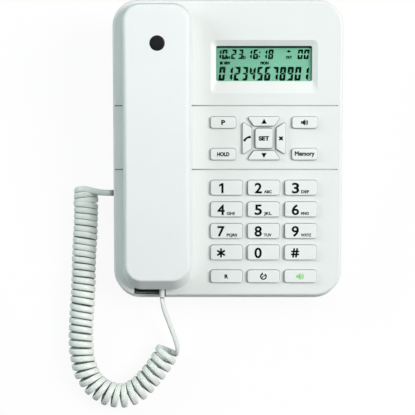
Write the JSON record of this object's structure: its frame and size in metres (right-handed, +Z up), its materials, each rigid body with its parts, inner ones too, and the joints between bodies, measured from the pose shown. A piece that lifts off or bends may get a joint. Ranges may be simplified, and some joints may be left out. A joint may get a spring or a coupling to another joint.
{
  "type": "corded landline phone",
  "caption": "Corded desk telephone with a sloping key panel, framed number display, handset in a side cradle and a curly cord.",
  "frame": {"origin": "under the middle of the base, on the plane that the rubber feet stand on", "axes": "+X to the right of the user, +Y to the back, +Z up"},
  "size_m": [0.1948, 0.2852, 0.0737],
  "materials": {
    "housing": "fine satin moulded",
    "handset": "satin moulded",
    "keycap": "satin moulded",
    "lens": "clear",
    "display": "smooth",
    "board": "lacquered",
    "silicone": "matt",
    "steel": "zinc plated",
    "black_plastic": "moulded",
    "speaker": "painted",
    "aluminium": "drawn can",
    "jack": "moulded",
    "plug": "clear moulded",
    "cell": "plain sleeve",
    "rubber": "matt",
    "weight": "bar",
    "cord": "smooth satin"
  },
  "bodies": {
    "base": {"base_top_cover": "housing", "base_bottom_cover": "housing", "display_window": "lens", "display_module": "display", "main_board": "board", "key_mat": "silicone", "board_screws": "steel", "hook_switch": "black_plastic", "hook_spring": "steel", "loudspeaker": "speaker", "handsfree_microphone": "aluminium", "base_handset_jack": "jack", "base_plug": "plug", "line_jack": "jack", "battery_cells": "cell", "battery_contacts": "steel", "rubber_feet": "rubber", "base_screws": "steel", "cord_coil": "cord", "cord_base_tail": "cord", "cord_handset_tail": "cord"},
    "handset": {"handset_front_shell": "handset", "handset_back_shell": "handset", "handset_screws": "steel", "earpiece_capsule": "black_plastic", "handset_microphone": "aluminium", "handset_weight": "weight", "handset_jack": "jack", "handset_plug": "plug"},
    "hook": {"hook_plunger": "keycap"},
    "door": {"battery_door": "housing"},
    "key_1": {"key_1": "keycap"},
    "key_2": {"key_2": "keycap"},
    "key_3": {"key_3": "keycap"},
    "key_4": {"key_4": "keycap"},
    "key_5": {"key_5": "keycap"},
    "key_6": {"key_6": "keycap"},
    "key_7": {"key_7": "keycap"},
    "key_8": {"key_8": "keycap"},
    "key_9": {"key_9": "keycap"},
    "key_star": {"key_star": "keycap"},
    "key_0": {"key_0": "keycap"},
    "key_hash": {"key_hash": "keycap"},
    "key_flash": {"key_flash": "keycap"},
    "key_redial": {"key_redial": "keycap"},
    "key_speaker": {"key_speaker": "keycap"},
    "key_pause": {"key_pause": "keycap"},
    "key_hold": {"key_hold": "keycap"},
    "key_volume": {"key_volume": "keycap"},
    "key_memory": {"key_memory": "keycap"},
    "key_set": {"key_set": "keycap"},
    "key_up": {"key_up": "keycap"},
    "key_call": {"key_call": "keycap"},
    "key_down": {"key_down": "keycap"},
    "key_delete": {"key_delete": "keycap"}
  },
  "joints": [
    {"name": "handset_lift", "type": "slide", "parent": "base", "child": "handset", "axis": [0, -0.1736, 0.9848], "range_m": [0, 0.07]},
    {"name": "hook_rise", "type": "slide", "parent": "base", "child": "hook", "axis": [0, -0.1736, 0.9848], "range_m": [0, 0.004], "deforming": ["hook_spring"]},
    {"name": "battery_door_open", "type": "hinge", "parent": "base", "child": "door", "pos_m": [0.039, 0.02445, 0.0032], "axis": [-1, 0, 0], "range_deg": [0, 90]},
    {"name": "key_1_press", "type": "slide", "parent": "base", "child": "key_1", "axis": [0, -0.1736, 0.9848], "range_m": [-0.0012, 0], "stiffness_N_per_m": 600, "deforming": ["key_mat"]},
    {"name": "key_2_press", "type": "slide", "parent": "base", "child": "key_2", "axis": [0, -0.1736, 0.9848], "range_m": [-0.0012, 0], "stiffness_N_per_m": 600, "deforming": ["key_mat"]},
    {"name": "key_3_press", "type": "slide", "parent": "base", "child": "key_3", "axis": [0, -0.1736, 0.9848], "range_m": [-0.0012, 0], "stiffness_N_per_m": 600, "deforming": ["key_mat"]},
    {"name": "key_4_press", "type": "slide", "parent": "base", "child": "key_4", "axis": [0, -0.1736, 0.9848], "range_m": [-0.0012, 0], "stiffness_N_per_m": 600, "deforming": ["key_mat"]},
    {"name": "key_5_press", "type": "slide", "parent": "base", "child": "key_5", "axis": [0, -0.1736, 0.9848], "range_m": [-0.0012, 0], "stiffness_N_per_m": 600, "deforming": ["key_mat"]},
    {"name": "key_6_press", "type": "slide", "parent": "base", "child": "key_6", "axis": [0, -0.1736, 0.9848], "range_m": [-0.0012, 0], "stiffness_N_per_m": 600, "deforming": ["key_mat"]},
    {"name": "key_7_press", "type": "slide", "parent": "base", "child": "key_7", "axis": [0, -0.1736, 0.9848], "range_m": [-0.0012, 0], "stiffness_N_per_m": 600, "deforming": ["key_mat"]},
    {"name": "key_8_press", "type": "slide", "parent": "base", "child": "key_8", "axis": [0, -0.1736, 0.9848], "range_m": [-0.0012, 0], "stiffness_N_per_m": 600, "deforming": ["key_mat"]},
    {"name": "key_9_press", "type": "slide", "parent": "base", "child": "key_9", "axis": [0, -0.1736, 0.9848], "range_m": [-0.0012, 0], "stiffness_N_per_m": 600, "deforming": ["key_mat"]},
    {"name": "key_star_press", "type": "slide", "parent": "base", "child": "key_star", "axis": [0, -0.1736, 0.9848], "range_m": [-0.0012, 0], "stiffness_N_per_m": 600, "deforming": ["key_mat"]},
    {"name": "key_0_press", "type": "slide", "parent": "base", "child": "key_0", "axis": [0, -0.1736, 0.9848], "range_m": [-0.0012, 0], "stiffness_N_per_m": 600, "deforming": ["key_mat"]},
    {"name": "key_hash_press", "type": "slide", "parent": "base", "child": "key_hash", "axis": [0, -0.1736, 0.9848], "range_m": [-0.0012, 0], "stiffness_N_per_m": 600, "deforming": ["key_mat"]},
    {"name": "key_flash_press", "type": "slide", "parent": "base", "child": "key_flash", "axis": [0, -0.1736, 0.9848], "range_m": [-0.0012, 0], "stiffness_N_per_m": 600, "deforming": ["key_mat"]},
    {"name": "key_redial_press", "type": "slide", "parent": "base", "child": "key_redial", "axis": [0, -0.1736, 0.9848], "range_m": [-0.0012, 0], "stiffness_N_per_m": 600, "deforming": ["key_mat"]},
    {"name": "key_speaker_press", "type": "slide", "parent": "base", "child": "key_speaker", "axis": [0, -0.1736, 0.9848], "range_m": [-0.0012, 0], "stiffness_N_per_m": 600, "deforming": ["key_mat"]},
    {"name": "key_pause_press", "type": "slide", "parent": "base", "child": "key_pause", "axis": [0, -0.1736, 0.9848], "range_m": [-0.0012, 0], "stiffness_N_per_m": 600, "deforming": ["key_mat"]},
    {"name": "key_hold_press", "type": "slide", "parent": "base", "child": "key_hold", "axis": [0, -0.1736, 0.9848], "range_m": [-0.0012, 0], "stiffness_N_per_m": 600, "deforming": ["key_mat"]},
    {"name": "key_volume_press", "type": "slide", "parent": "base", "child": "key_volume", "axis": [0, -0.1736, 0.9848], "range_m": [-0.0012, 0], "stiffness_N_per_m": 600, "deforming": ["key_mat"]},
    {"name": "key_memory_press", "type": "slide", "parent": "base", "child": "key_memory", "axis": [0, -0.1736, 0.9848], "range_m": [-0.0012, 0], "stiffness_N_per_m": 600, "deforming": ["key_mat"]},
    {"name": "key_set_press", "type": "slide", "parent": "base", "child": "key_set", "axis": [0, -0.1736, 0.9848], "range_m": [-0.0012, 0], "stiffness_N_per_m": 600, "deforming": ["key_mat"]},
    {"name": "key_up_press", "type": "slide", "parent": "base", "child": "key_up", "axis": [0, -0.1736, 0.9848], "range_m": [-0.0012, 0], "stiffness_N_per_m": 600, "deforming": ["key_mat"]},
    {"name": "key_call_press", "type": "slide", "parent": "base", "child": "key_call", "axis": [0, -0.1736, 0.9848], "range_m": [-0.0012, 0], "stiffness_N_per_m": 600, "deforming": ["key_mat"]},
    {"name": "key_down_press", "type": "slide", "parent": "base", "child": "key_down", "axis": [0, -0.1736, 0.9848], "range_m": [-0.0012, 0], "stiffness_N_per_m": 600, "deforming": ["key_mat"]},
    {"name": "key_delete_press", "type": "slide", "parent": "base", "child": "key_delete", "axis": [0, -0.1736, 0.9848], "range_m": [-0.0012, 0], "stiffness_N_per_m": 600, "deforming": ["key_mat"]}
  ],
  "couplings": [
    {"joint": "hook_rise", "follows": "handset_lift", "ratio": 0.057143}
  ]
}
